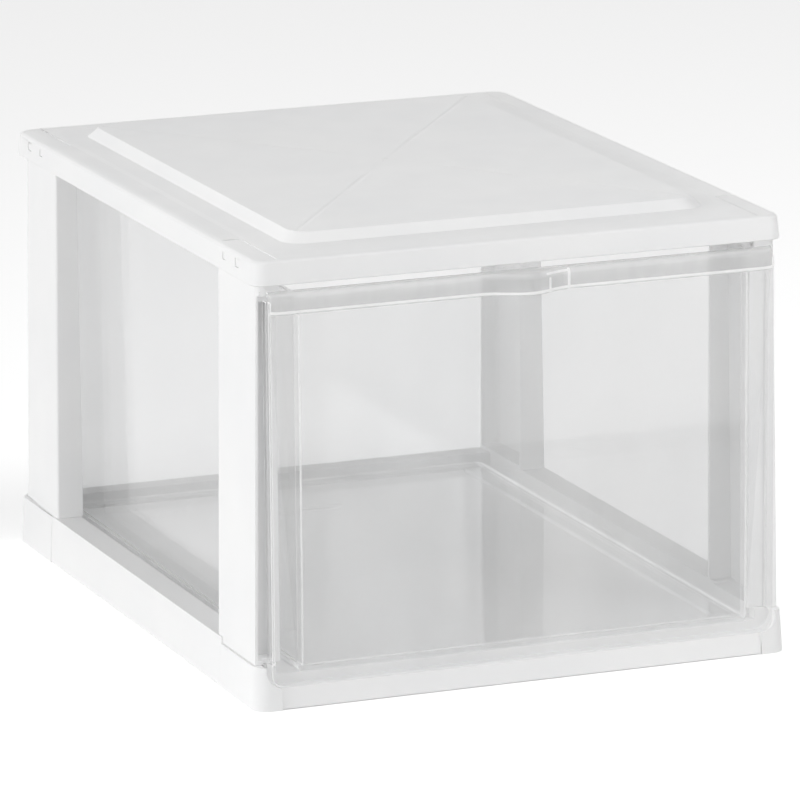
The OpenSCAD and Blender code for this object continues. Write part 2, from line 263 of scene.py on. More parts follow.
def skin(rings):
    """Solid through rings of equally many points, closed by a face at each end."""
    shape = bmesh.new()
    loops = [[shape.verts.new(point) for point in ring] for ring in rings]
    count = len(loops[0])
    for low, high in zip(loops, loops[1:]):
        for i in range(count):
            j = (i + 1) % count
            shape.faces.new((low[i], low[j], high[j], high[i]))
    shape.faces.new(reversed(loops[0]))
    shape.faces.new(loops[-1])
    bmesh.ops.recalc_face_normals(shape, faces=shape.faces)
    return shape


def block(low, high):
    """Upright block between two corners."""
    (x0, y0, z0), (x1, y1, z1) = low, high
    foot = [(x0, y0), (x1, y0), (x1, y1), (x0, y1)]
    return skin([[Vector((x, y, z)) for x, y in foot] for z in (z0, z1)])


def mirrored(shape, x_side, y_side):
    """The shape turned over to the side that the signs of x_side and y_side give."""
    bmesh.ops.scale(shape, vec=(x_side, y_side, 1), verts=shape.verts)
    if x_side * y_side < 0:
        bmesh.ops.reverse_faces(shape, faces=shape.faces)
    return shape


def on_sides(make):
    """The shape that make() gives, on the right and mirrored to the left."""
    return [mirrored(make(), x_side, 1) for x_side in (1, -1)]


def at_corners(make):
    """The shape that make() gives, at all four corners."""
    return [mirrored(make(), x_side, y_side) for x_side in (1, -1) for y_side in (1, -1)]


def link_shape(shape, name, materials):
    """Turns a shape into an object of the scene. The shape is used up."""
    mesh = bpy.data.meshes.new(name)
    shape.to_mesh(mesh)
    shape.free()
    for material in materials:
        mesh.materials.append(material)
    made = bpy.data.objects.new(name, mesh)
    bpy.context.scene.collection.objects.link(made)
    return made


def settle(made):
    """Applies the modifiers of an object to its mesh."""
    found = made.evaluated_get(bpy.context.evaluated_depsgraph_get())
    mesh = bpy.data.meshes.new_from_object(found)
    made.modifiers.clear()
    made.data = mesh


def carve(made, shapes, operation="DIFFERENCE"):
    """Adds shapes to an object or cuts them away."""
    tools = [link_shape(shape, "tool", made.data.materials) for shape in shapes]
    for tool in tools:
        modifier = made.modifiers.new("carve", "BOOLEAN")
        modifier.operation = operation
        modifier.object = tool
        modifier.solver = "EXACT"
    settle(made)
    for tool in tools:
        bpy.data.objects.remove(tool)


def round_edges(made, width, material=-1):
    """Rounds the sharp edges, which keep the slot of their faces unless one is given."""
    bevel = made.modifiers.new("edges", "BEVEL")
    bevel.width = width
    bevel.segments = 2
    bevel.limit_method = "ANGLE"
    bevel.angle_limit = math.radians(40)
    bevel.use_clamp_overlap = False
    bevel.miter_outer = "MITER_ARC"
    bevel.material = material
    settle(made)


def finish_piece(made, slot, body, *nodes):
    made.data.transform(Matrix.Scale(MM, 4) @ Matrix.Translation((0, MID_Y, 0)))
    for face in made.data.polygons:
        face.use_smooth = True
    made.data.set_sharp_from_angle(angle=math.radians(35))
    weighted = made.modifiers.new("normals", "WEIGHTED_NORMAL")
    weighted.keep_sharp = True
    settle(made)
    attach(made, body)
    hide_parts(*nodes)


# ---- top panel ----
def panel_ring(inset, z, r):
    """Level outline of the top panel, drawn in by inset, with corners of radius r."""
    return centred(HALF_W - inset, HALF_D - inset, r, z)


def ridge_height(point, edge_x, edge_y, low_z):
    """Height of the shallow pyramid over a point of the raised middle."""
    share = min(1 - abs(point.x) / edge_x, 1 - abs(point.y) / edge_y)
    return low_z + RIDGE_RISE * share


def pyramid_ring(inset, low_z, shrink):
    """Outline of the raised middle, shrunk and lifted onto the shallow pyramid."""
    ring = panel_ring(inset, low_z, MIDDLE_R)
    edge_x, edge_y = HALF_W - inset, HALF_D - inset
    for point in ring:
        point.x, point.y = point.x * shrink, point.y * shrink
        point.z = ridge_height(point, edge_x, edge_y, low_z)
    return ring


def top_panel_shape():
    """Panel and skirt, as rings that run up the outside, over the top and back underneath."""
    edge_in, edge_down = 4.5, 2.2         # soft upper edge of the skirt
    bevel_in = BORDER_W + BEVEL_W
    inner_r = CORNER_R - WALL
    outside = soften([
        (-FLARE + 0.5, SKIRT_Z, CORNER_R, 0), (-FLARE, SKIRT_Z + 0.5, CORNER_R, 0.3),
        (0, LEDGE_Z - edge_down, CORNER_R, 0)])
    edge = [Vector((edge_in * (1 - math.cos(a)),
                    LEDGE_Z - edge_down * (1 - math.sin(a)), CORNER_R))
            for a in (math.radians(15 * i) for i in range(1, 7))]
    ledges = soften([
        (BAND_IN - 3, LEDGE_Z, CORNER_R, 0), (BAND_IN, LEDGE_Z, CORNER_R, 0.8),
        (BAND_IN + BAND_W, INNER_LEDGE_Z, CORNER_R, 0.8),
        (BORDER_W, INNER_LEDGE_Z, BORDER_R, 0.6), (bevel_in, MIDDLE_Z, MIDDLE_R, 0)])
    rings = [panel_ring(*point) for point in outside + edge + ledges]
    rings += [pyramid_ring(bevel_in, MIDDLE_Z, shrink) for shrink in (0.992, 0.5, 0.02)]
    under_in = BORDER_W + WALL
    under = soften([
        (under_in + BEVEL_W, MIDDLE_Z - WALL, MIDDLE_R, 0), (under_in, PLATE_Z, BORDER_R, 0),
        (WALL, PLATE_Z, inner_r, 0.8), (WALL - FLARE, SKIRT_Z, inner_r, 0)])
    rings += [pyramid_ring(bevel_in + WALL, MIDDLE_Z - WALL, shrink) for shrink in (0.02, 0.98)]
    rings += [panel_ring(*point) for point in under]
    return skin_closed(rings)


def skin_closed(rings):
    """Solid, open below, through rings that run over the top and back underneath.

    The last ring joins the first. The two small rings around the very middle, above and
    below, aren't joined to each other but closed by a face each.
    """
    small = 20.0                          # only these two rings lie so close to the middle
    shape = bmesh.new()
    loops = [[shape.verts.new(point) for point in ring] for ring in rings]
    count = len(loops[0])
    top_end = next(i for i, ring in enumerate(rings) if ring[0].to_2d().length < small)
    for index, low in enumerate(loops):
        high = loops[(index + 1) % len(loops)]
        if index == top_end:
            shape.faces.new(low)
            shape.faces.new(reversed(high))
            continue
        for i in range(count):
            j = (i + 1) % count
            shape.faces.new((low[i], low[j], high[j], high[i]))
    bmesh.ops.recalc_face_normals(shape, faces=shape.faces)
    return shape


def snap_shape(snap, gap=0.0):
    """Window through the skirt for a snap, or the snap in it where gap is over 0."""
    y, length, height, far_r = snap
    if gap == 0:
        inner_x, outer_x = HALF_W - WALL - OVER, HALF_W + 2.0
    else:
        inner_x, outer_x = HALF_W - 4.0, HALF_W - 0.15
    outline = rounded((SNAP_Z - height / 2 + gap, y - length / 2 + gap),
                      (SNAP_Z + height / 2 - gap, y + length / 2 - gap), 0.4, far_r - gap, 0)
    return skin([[Vector((x, p.y, p.x)) for p in outline] for x in (inner_x, outer_x)])


def crease(x_side, y_side):
    """Shallow groove along one ridge of the pyramid."""
    half, depth, above = 1.1, 0.3, 0.1
    inset = BORDER_W + BEVEL_W
    corner = Vector((x_side * (HALF_W - inset), y_side * (HALF_D - inset)))
    along = corner.normalized()
    across = Vector((-along.y, along.x)) * half
    rings = []
    for share in (0.03, 0.965):
        here = corner * share
        z = MIDDLE_Z + RIDGE_RISE * (1 - share)
        rings.append([Vector((*(here + across), z + above)), Vector((*here, z - depth)),
                      Vector((*(here - across), z + above))])
    return skin(rings)


def gate_dish():
    """Cone-shaped dimple that the moulding gate leaves in the middle."""
    top = MIDDLE_Z + RIDGE_RISE
    sizes = ((0.9, top - 0.8), (GATE_R, top + 0.2))
    angles = [math.tau * i / GATE_SIDES for i in range(GATE_SIDES)]
    return skin([[Vector((r * math.cos(a), r * math.sin(a), z)) for a in angles]
                 for r, z in sizes])


def build_top_panel():
    made = link_shape(top_panel_shape(), "panel_top", [WHITE])
    cuts = at_corners(
        lambda: block((PAD_X, PAD_Y, PAD_Z), (HALF_W + OVER, HALF_D + OVER, MIDDLE_Z)))
    for snap in (SMALL_SNAP, ROUND_SNAP):
        cuts += at_corners(lambda: snap_shape(snap))
    cuts += [crease(x_side, y_side) for x_side in (1, -1) for y_side in (1, -1)]
    cuts.append(gate_dish())
    carve(made, cuts)
    round_edges(made, 0.3)
    finish_piece(made, "white_plastic", "frame", "top_panel")


# ---- base frame ----
def plinth(inset):
    """Body of the base, flared towards its foot and drawn in by inset."""
    foot, head = FOOT_OUT - inset, HEAD_OUT - inset
    return skin([centred(HALF_W + foot, HALF_D + foot, CORNER_R, 0),
                 centred(HALF_W + head, HALF_D + head, CORNER_R, BASE_H)])


def front_slope():
    """Cuts the front rail back towards its upper edge, so that its face looks up a little."""
    foot_in, head_in = 0.6, 2.2           # from the plinth's face, below and above
    foot_y = -(HALF_D + FOOT_OUT - foot_in)
    head_y = -(HALF_D + HEAD_OUT - head_in)
    far_y, head_z = -(HALF_D + FAR_PAST), FRONT_RAIL_Z + OVER
    section = [(foot_y, 0), (head_y, head_z), (far_y, head_z), (far_y, 0)]
    return skin([[Vector((x, y, z)) for y, z in section] for x in (-BLOCK_X, BLOCK_X)])


def front_recess():
    """Recess that takes the lower edge of the drawer's front and follows its round corners."""
    corner_r = FRONT_R + RECESS_X - FRONT_X
    outline = rounded((-RECESS_X, FRONT_RAIL_Z), (RECESS_X, BASE_H + OVER), corner_r, 0.2, 0)
    return skin([[Vector((p.x, y, p.y)) for p in outline] for y in (-(HALF_D + PAST), -RECESS_Y)])


def corner_columns():
    """The four corner blocks, which stand out from the rails and reach down to the ground."""
    made = link_shape(plinth(0), "columns", [WHITE])
    above = BASE_H + OVER
    carve(made, [
        block((-HALF_W - FAR_PAST, -BLOCK_Y, -OVER), (HALF_W + FAR_PAST, BLOCK_Y, above)),
        block((-BLOCK_X, -HALF_D - FAR_PAST, -OVER), (BLOCK_X, HALF_D + FAR_PAST, above))])
    shape = bmesh.new()
    shape.from_mesh(made.data)
    bpy.data.objects.remove(made)
    return shape


def base_cuts():
    """The spaces in the base: bay, hollows, recess and pockets."""
    above = BASE_H + OVER
    front = -(HALF_D + PAST)
    roof = BASE_H - WALL
    cuts = [
        # bay for the drawer, above the floor, and the hollow under the floor
        block((-RAIL_X, -RAIL_Y, FLOOR_TOP), (RAIL_X, RAIL_Y, above)),
        block((-BLOCK_X, front, FLOOR_TOP), (BLOCK_X, -RAIL_Y + OVER, above)),
        block((-RAIL_X, -RAIL_Y, -OVER), (RAIL_X, RAIL_Y, FLOOR_Z)),
        front_recess(),
        # slot beside the left edge of the drawer's front
        block((SLOT_X, -RECESS_Y - OVER, SLOT_Z),
              (SLOT_X + SLOT_W, -RECESS_Y + SLOT_DEPTH, above)),
        # hollow back and front rails
        block((-BLOCK_X + WALL, RAIL_Y + WALL, -OVER), (BLOCK_X - WALL, INSIDE_Y, roof)),
        block((-BLOCK_X + WALL, -INSIDE_Y, -OVER),
              (BLOCK_X - WALL, -RECESS_Y - WALL, FRONT_RAIL_Z - WALL)),
        front_slope(),
    ]
    # the front corner blocks are lower than the rails
    cuts += on_sides(
        lambda: block((RAIL_X - OVER, front, BLOCK_Z), (HALF_W + PAST, -BLOCK_Y, above)))
    # hollow side rails, and pockets for the plugs of the posts
    cuts += on_sides(
        lambda: block((RAIL_X + WALL, -BLOCK_Y + WALL, -OVER), (INSIDE_X, BLOCK_Y - WALL, roof)))
    cuts += on_sides(
        lambda: block((BLOCK_X + WALL, BLOCK_Y + WALL, WALL), (INSIDE_X, INSIDE_Y, above)))
    cuts += on_sides(
        lambda: block((BLOCK_X + WALL, -PLUG_Y, WALL), (INSIDE_X, -BLOCK_Y - WALL, above)))
    return cuts


def runners_and_stop():
    """The two runners under the drawer and the rib at the front that stops it."""
    sunk = FLOOR_TOP - WALL / 2
    near, far = STOP_RIB_IN
    adds = on_sides(lambda: block((RUNNER_X, -RAIL_Y + RUNNER_END, sunk),
                                  (RUNNER_X + RUNNER_W, RAIL_Y - RUNNER_END,
                                   DRAWER_Z - RUNNER_DOWN)))
    adds.append(block((-STOP_X, -RAIL_Y + near, sunk),
                      (STOP_X, -RAIL_Y + far, DRAWER_Z - STOP_RIB_DOWN)))
    return adds


def build_base_frame():
    made = link_shape(plinth(BLOCK_PROUD), "base_tray", [WHITE])
    carve(made, [block((-HALF_W - PAST, -HALF_D - PAST, -OVER),
                       (HALF_W + PAST, HALF_D + PAST, FOOT_GAP))])
    carve(made, [corner_columns()], "UNION")
    carve(made, base_cuts())
    carve(made, runners_and_stop(), "UNION")
    round_edges(made, 0.4)
    finish_piece(made, "white_plastic", "frame", "base_frame")


# ---- posts ----
def lean_at(z):
    """How far the outer sides of a post have leaned out at height z."""
    return POST_LEAN * (PLATE_Z - z) / (PLATE_Z - BLOCK_Z)


def leaning_block(near, far, foot, top):
    """Block whose outer side leans out with that of a post."""
    rings = []
    for z in (foot, top):
        outer = far[0] + lean_at(z)
        corners_xy = [near, (outer, near[1]), (outer, far[1]), (near[0], far[1])]
        rings.append([Vector((*corner, z)) for corner in corners_xy])
    return skin(rings)


def leaning(near, far, foot, top, r, edge_r, tilt=0.0):
    """Post-shaped prism whose outer sides lean out towards the foot.

    Its far outer corner has the radius r and its near one edge_r. The outer side is drawn in
    by tilt from TILT_Y to the far corner.
    """
    edge_steps = 4
    rings = []
    for z in (foot, top):
        fx, fy = far[0] + lean_at(z), far[1] + lean_at(z)
        ring = [Vector((near[0], near[1], z))]
        for i in range(edge_steps + 1):
            a = math.radians(90 * i / edge_steps - 90)
            ring.append(Vector((fx - edge_r + edge_r * math.cos(a),
                                near[1] + edge_r + edge_r * math.sin(a), z)))
        ring.append(Vector((fx, TILT_Y, z)))
        for i in range(ARC_STEPS + 1):
            a = math.radians(90 * i / ARC_STEPS)
            ring.append(Vector((fx - tilt - r + r * math.cos(a), fy - r + r * math.sin(a), z)))
        ring.append(Vector((near[0], fy, z)))
        rings.append(ring)
    return skin(rings)


def post_object(name, foot, tilt):
    """C-shaped post, open towards the drawer."""
    made = link_shape(leaning((POST_IN_X, POST_NEAR_Y), (POST_OUT_X, POST_FAR_Y), foot, PLATE_Z,
                              POST_R, POST_EDGE_R, tilt), name, [WHITE])
    hollow = leaning((POST_IN_X - OVER, POST_NEAR_Y + WALL), (POST_OUT_X - WALL, POST_FAR_Y - WALL),
                     foot + WALL, PLATE_Z - WALL, POST_R - WALL, 0.5, tilt)
    carve(made, [hollow])
    return made


def post_joints(foot, plug_far):
    """The plug in the base and the two snaps in the skirt."""
    plug = block((BLOCK_X + WALL + PLUG_GAP, BLOCK_Y + WALL + PLUG_GAP, foot - PLUG_LENGTH),
                 (INSIDE_X - PLUG_GAP, plug_far - PLUG_GAP, foot + OVER))
    return [plug, snap_shape(SMALL_SNAP, SNAP_GAP), snap_shape(ROUND_SNAP, SNAP_GAP)]


def shape_front_post(made, foot, x_side):
    """Gives a front post its recess for the side of the drawer's front.

    The left one has a deep groove there too. The right one reaches closer to the front.
    """
    recess_x = POST_RECESS_X if x_side < 0 else FRONT_X + RIGHT_GAP
    recess_wall_x = HALF_W - RECESS_WALL_IN
    behind_y = POST_RECESS_Y - GROOVE_DEPTH - GROOVE_WALL
    roof_z = DRAWER_TOP - POST_ROOF_DOWN
    past_tip = POST_TIP_Y + OVER
    carve(made, [
        # wall behind the recess, filled tip for the groove, and roof
        block((POST_IN_X, POST_RECESS_Y - WALL, foot + SINK),
              (recess_wall_x, POST_RECESS_Y + SINK, PLATE_Z - SINK)),
        leaning_block((GROOVE_X - GROOVE_WALL, behind_y),
                      (POST_OUT_X - TIP_WALL_IN, POST_TIP_Y + SINK), foot + SINK, PLATE_Z - SINK),
        block((POST_IN_X, POST_RECESS_Y - OVER, roof_z - OVER),
              (recess_wall_x, POST_FAR_Y - SINK, roof_z + WALL))], "UNION")
    carve(made, [
        # room for the side rail, recess, and shortened tip
        block((POST_IN_X - OVER, POST_NEAR_Y - OVER, foot - OVER),
              (HALF_W + PAST, BLOCK_Y, BASE_H)),
        block((POST_IN_X - OVER, POST_RECESS_Y, foot - OVER), (recess_x, past_tip, roof_z)),
        block((POST_IN_X - OVER, POST_TIP_Y, foot - OVER), (HALF_W + PAST, HALF_D + PAST, roof_z))])
    if x_side < 0:
        carve(made, [leaning_block((GROOVE_X, POST_RECESS_Y - GROOVE_DEPTH),
                                   (POST_OUT_X - GROOVE_WALL_IN, past_tip),
                                   foot + GROOVE_FOOT, roof_z - GROOVE_HEAD)])


def build_post(name, x_side, y_side):
    """Builds a post in the back right corner and turns it over to its own."""
    front = y_side < 0
    foot = BLOCK_Z if front else BASE_H
    made = post_object(name, foot, 0.0 if front else BACK_TILT)
    if front:
        shape_front_post(made, foot, x_side)
    carve(made, post_joints(foot, PLUG_Y if front else INSIDE_Y), "UNION")
    shape = bmesh.new()
    shape.from_mesh(made.data)
    mirrored(shape, x_side, y_side).to_mesh(made.data)
    shape.free()
    node_name = "post_" + ("front_" if front else "back_") + ("right" if x_side > 0 else "left")
    round_edges(made, 0.35)
    finish_piece(made, "white_plastic", "frame", node_name)


# ---- drawer ----
# its material slots: plain walls, painted highlights on edges, beads and the tab, and the thick lip
CLEAR_SLOT, PAINTED_HIGHLIGHT_SLOT, THICK_SLOT = range(3)


def tub_shape():
    """Open box with round lower edges and a rim that flares out around its top."""
    floor_r, rim_down = 3.0, 3.4          # lower edges, and height of the rim
    inside_r = floor_r - 0.8
    floor_z = DRAWER_Z + DRAWER_WALL
    outer = soften([
        (floor_r, DRAWER_Z, 0), (0, DRAWER_Z, floor_r), (0, DRAWER_TOP - rim_down, 1.5),
        (-RIM_OUT, DRAWER_TOP - 0.7, 0.5), (-RIM_OUT, DRAWER_TOP, 0)])
    inner = soften([
        (DRAWER_WALL - RIM_OUT, DRAWER_TOP, 0), (DRAWER_WALL, DRAWER_TOP - rim_down + 0.4, 1.5),
        (DRAWER_WALL, floor_z, inside_r), (DRAWER_WALL + inside_r, floor_z, 0)], 6)
    rings = []
    for inset, z in outer:
        near = (FRONT_Y + FRONT_BACK) / 2
        rings.append(tub_ring(near, inset, 0.3, z))
    for inset, z in inner:
        near = FRONT_BACK + 0.1 + max(inset - DRAWER_WALL, 0)
        rings.append(tub_ring(near, inset, 0.6, z))
    return skin(rings)


def tub_ring(near, inset, near_r, z):
    """Level outline of the box from its front end, near, drawn in by inset at the other sides."""
    return rounded((-TUB_X + inset, near), (TUB_X - inset, TUB_BACK - inset),
                   near_r, max(TUB_R - inset, 1), z)


def front_plate():
    """Plate of the drawer's front with round lower corners."""
    outline = rounded((-FRONT_X, FRONT_Z), (FRONT_X, DRAWER_TOP - PLATE_DOWN), FRONT_R, 0.2, 0)
    return skin([[Vector((p.x, y, p.y)) for p in outline] for y in (FRONT_Y, FRONT_BACK)])


def tab_bump(x):
    """How far the finger tab stands out from the lip at x."""
    return TAB_OUT * (0.5 + 0.5 * math.cos(math.pi * x / TAB_X)) if abs(x) < TAB_X else 0.0


def fillet_strip(x, has_painted_highlight):
    """Bead on the right of a side wall of the box, in its corner with the front.

    With the flag set it gets a painted highlight: the lighter hazy material that stands in for
    light gathered in the corner.
    """
    leg, sink = 1.0, 0.3
    near, far = FRONT_BACK - sink, FRONT_BACK + leg
    section = [(x - sink, near), (x + leg, near), (x + leg, FRONT_BACK),
               (x + leg * 0.3, FRONT_BACK + leg * 0.3), (x, far), (x - sink, far)]
    strip = skin([[Vector((*point, z)) for point in section] for z in (DRAWER_Z + 3, LIP_Z)])
    for face in strip.faces:
        face.material_index = PAINTED_HIGHLIGHT_SLOT if has_painted_highlight else CLEAR_SLOT
    return strip


def lip_shape():
    """Lip along the top of the front, round at its ends and swelling out into the finger tab."""
    ends = [LIP_X - LIP_END_R * (1 - math.sin(math.radians(a))) for a in range(0, 91, 15)]
    middle = [TAB_X * i / 16 for i in range(-16, 17)]
    stations = [-x for x in reversed(ends)] + middle + ends
    rings = []
    for x in stations:
        over_end = max(abs(x) - (LIP_X - LIP_END_R), 0) / LIP_END_R
        y = LIP_Y - tab_bump(x) + LIP_END_DEPTH * (1 - math.sqrt(max(1 - over_end ** 2, 0)))
        r = min(LIP_TOP_R, LIP_BACK - y - LIP_EDGE_OUT - 0.3)
        face_y = y + LIP_EDGE_OUT
        arc = [Vector((x, face_y + r - r * math.sin(a), DRAWER_TOP - r + r * math.cos(a)))
               for a in (math.radians(11.25 * i) for i in range(9))]
        bead = [Vector((x, y + LIP_EDGE_R - LIP_EDGE_R * math.cos(a),
                        LIP_Z + LIP_EDGE_R * (1 + math.sin(a))))
                for a in (math.radians(angle) for angle in (70, 50, 25, 0, -30, -60, -90))]
        under = [Vector((x, FRONT_BACK - 0.2, LIP_Z)),
                 Vector((x, FRONT_BACK - 0.2, DRAWER_TOP - DRAWER_WALL)),
                 Vector((x, LIP_BACK, DRAWER_TOP - DRAWER_WALL))]
        rings.append([Vector((x, LIP_BACK, DRAWER_TOP))] + arc + bead + under)
    shape = skin(rings)
    # faces on the bead and on strokes across the tab get the painted highlight material, the rest
    # the thick one
    for face in shape.faces:
        has_painted_highlight = gets_painted_highlight(face.calc_center_median())
        face.material_index = PAINTED_HIGHLIGHT_SLOT if has_painted_highlight else THICK_SLOT
    return shape


def gets_painted_highlight(point):
    """Whether a place on the lip gets a painted highlight: on its bead or in one of the painted
    highlight strokes across the tab.

    The strokes frame a small field on the right half of the finger tab.
    """
    bead_highlight = LIP_Z + LIP_EDGE_R * 0.6 < point.z < LIP_Z + 2 * LIP_EDGE_R
    along_tab = point.x / TAB_X
    front = point.y < LIP_Y - tab_bump(point.x) + 2
    near_top = DRAWER_TOP - 1.9 < point.z < DRAWER_TOP - 0.9
    top_highlight_stroke = 0.35 < along_tab < 0.95 and near_top
    end_highlight_stroke = 0.94 < along_tab < 1 and front
    mid_highlight_stroke = 0.44 < along_tab < 0.5 and front and point.z < DRAWER_TOP - LIP_TOP_R
    return bead_highlight or top_highlight_stroke or end_highlight_stroke or mid_highlight_stroke


def tab_hollow():
    """Space under the finger tab, open below."""
    steps = 14
    reach, back = TAB_X - TAB_EDGE, FRONT_Y - 0.1
    depth = back - (LIP_Y - TAB_OUT + DRAWER_WALL)
    xs = [reach * i / steps for i in range(-steps, steps + 1)]
    outline = [(x, back - depth * tab_bump(x) / TAB_OUT) for x in xs]
    outline += [(reach, back), (-reach, back)]
    return skin([[Vector((x, y, z)) for x, y in outline]
                 for z in (LIP_Z - OVER, DRAWER_TOP - DRAWER_WALL - 1)])


def paint_floor_edge_highlight(mesh):
    """Paints a highlight on the ends of the curve between walls and floor, with the lighter hazy
    material.
    """
    for face in mesh.polygons:
        tilt = abs(face.normal.z)
        near_wall, near_floor = 0.05 < tilt < 0.4, 0.84 < tilt < 0.98
        if face.center.z < DRAWER_Z + 5 and (near_wall or near_floor):
            face.material_index = PAINTED_HIGHLIGHT_SLOT


def build_drawer():
    made = link_shape(tub_shape(), "drawer_clear", [CLEAR, PAINTED_HIGHLIGHT, THICK])
    paint_floor_edge_highlight(made.data)
    adds = [front_plate(), lip_shape()]
    for x in (TUB_X, DRAWER_WALL - TUB_X):
        # the first strip at each wall carries a painted highlight and its mirrored twin none, so
        # one side is lighter
        adds += [fillet_strip(x, True), mirrored(fillet_strip(x, False), -1, 1)]
    adds += on_sides(lambda: block((FRONT_X - DRAWER_WALL, FRONT_Y + RETURN_IN, BLOCK_Z + OVER),
                                   (FRONT_X, FRONT_Y + RETURN_DEPTH, DRAWER_TOP - RETURN_DOWN)))
    adds.append(block((-STOP_X, RIDGE_Y[0], RIDGE_Z[0]), (STOP_X, RIDGE_Y[1], RIDGE_Z[1])))
    carve(made, adds, "UNION")
    # the drawer's rounded edges get the painted highlight material
    round_edges(made, 0.4, PAINTED_HIGHLIGHT_SLOT)
    carve(made, [tab_hollow()])
    finish_piece(made, "clear_plastic", "drawer", "drawer")


# ---- node helpers ----
def new_material(name):
    """A material without nodes, and its node tree."""
    material = bpy.data.materials.new(name)
    material.use_nodes = True
    material.node_tree.nodes.clear()
    return material, material.node_tree


def node(tree, kind, **values):
    """A shader node with its inputs and properties set by name."""
    made = tree.nodes.new(kind)
    for key, value in values.items():
        if key in made.inputs:
            made.inputs[key].default_value = value
        else:
            setattr(made, key, value)
    return made


def link(tree, source, output, target, socket):
    tree.links.new(source.outputs[output], target.inputs[socket])


# ---- world, floor and lamps ----
FLOOR_HALF = 6.0                       # metres from the middle to the floor's edge
FLOOR_COLOUR = (0.93, 0.93, 0.93, 1)
FLOOR_LIFT = 0.42                      # light added to the floor for rays that show it

# name, place, place that it shines at, size in metres, and watts
LAMPS = (
    ("key_left", (-2.3, -0.45, 0.65), (0, 0, 0.12), (1.6, 1.0), 11),
    ("front_high", (0.4, -1.0, 2.2), (0, -0.1, 0.2), (1.2, 1.0), 15),
    ("front_above", (0.1, -1.75, 1.8), (0, 0, 0.15), (1.4, 1.0), 3),
    ("right_high", (2.0, -0.6, 1.4), (0, 0, 0.15), (1.2, 0.8), 4),
    ("right_low", (0.8, -1.2, 0.35), (0.1, -0.2, 0.05), (0.6, 0.4), 2.2),
)
# strength of the surroundings that light the object, at the low and the high end of each axis
SURROUNDINGS = {"X": (1.5, 0.0), "Y": (0.45, 1.1), "Z": (0.0, 0.0)}


def seen_ray(tree, path):
    """1 for rays that show the background: to the camera, through clear material or mirrored."""
    direct = node(tree, "ShaderNodeMath", operation="MAXIMUM")
    seen = node(tree, "ShaderNodeMath", operation="MAXIMUM")
    link(tree, path, "Is Camera Ray", direct, 0)
    link(tree, path, "Is Transmission Ray", direct, 1)
    link(tree, direct, 0, seen, 0)
    link(tree, path, "Is Glossy Ray", seen, 1)
    return seen


def surrounding_strength(tree):
    """The values of SURROUNDINGS, blended by the squares of the direction's parts."""
    place = node(tree, "ShaderNodeTexCoord")
    parts = node(tree, "ShaderNodeSeparateXYZ")
    link(tree, place, "Generated", parts, 0)
    total = None
    for axis, (low, high) in SURROUNDINGS.items():
        side = node(tree, "ShaderNodeMath", operation="GREATER_THAN")
        level = node(tree, "ShaderNodeMath", operation="MULTIPLY_ADD")
        square = node(tree, "ShaderNodeMath", operation="MULTIPLY")
        share = node(tree, "ShaderNodeMath", operation="MULTIPLY_ADD")
        side.inputs[1].default_value = 0.0
        level.inputs[1].default_value = high - low
        level.inputs[2].default_value = low
        share.inputs[2].default_value = 0.0
        link(tree, parts, axis, side, 0)
        link(tree, side, 0, level, 0)
        link(tree, parts, axis, square, 0)
        link(tree, parts, axis, square, 1)
        link(tree, square, 0, share, 0)
        link(tree, level, 0, share, 1)
        if total is not None:
            link(tree, total, 0, share, 2)
        total = share
    return total


def add_world():
    """White for rays that show the background, and softly uneven surroundings for the rest."""
    world = bpy.data.worlds.new("studio")
    bpy.context.scene.world = world
    world.use_nodes = True
    tree = world.node_tree
    tree.nodes.clear()
    seen = seen_ray(tree, node(tree, "ShaderNodeLightPath"))
    plain = node(tree, "ShaderNodeBackground", Color=(1, 1, 1, 1))
    white = node(tree, "ShaderNodeBackground", Color=(1, 1, 1, 1), Strength=1.0)
    mix = node(tree, "ShaderNodeMixShader")
    out = node(tree, "ShaderNodeOutputWorld")
    link(tree, surrounding_strength(tree), 0, plain, "Strength")
    link(tree, seen, 0, mix, 0)
    link(tree, plain, 0, mix, 1)
    link(tree, white, 0, mix, 2)
    link(tree, mix, 0, out, 0)


def add_floor():
    """Pale paper that keeps the object's shadow and turns white for rays that show it."""
    mesh = bpy.data.meshes.new("floor")
    half = FLOOR_HALF
    mesh.from_pydata([(-half, -half, 0), (half, -half, 0), (half, half, 0), (-half, half, 0)],
                     [], [(0, 1, 2, 3)])
    floor = bpy.data.objects.new("floor", mesh)
    bpy.context.scene.collection.objects.link(floor)
    material, tree = new_material("floor_paper")
    seen = seen_ray(tree, node(tree, "ShaderNodeLightPath"))
    paper = node(tree, "ShaderNodeBsdfDiffuse", Color=FLOOR_COLOUR)
    lift = node(tree, "ShaderNodeEmission", Color=(1, 1, 1, 1))
    strength = node(tree, "ShaderNodeMath", operation="MULTIPLY")
    strength.inputs[1].default_value = FLOOR_LIFT
    link(tree, seen, 0, strength, 0)
    link(tree, strength, 0, lift, "Strength")
    both = node(tree, "ShaderNodeAddShader")
    out = node(tree, "ShaderNodeOutputMaterial")
    link(tree, paper, 0, both, 0)
    link(tree, lift, 0, both, 1)
    link(tree, both, 0, out, 0)
    mesh.materials.append(material)


def add_lamp(name, at, towards, size, power):
    """Soft rectangular lamp that shines from one place towards another."""
    data = bpy.data.lights.new(name, "AREA")
    data.shape = "RECTANGLE"
    data.size, data.size_y = size
    data.energy = power
    lamp = bpy.data.objects.new(name, data)
    lamp.location = at
    lamp.rotation_euler = (Vector(towards) - Vector(at)).to_track_quat("-Z", "Y").to_euler()
    bpy.context.scene.collection.objects.link(lamp)


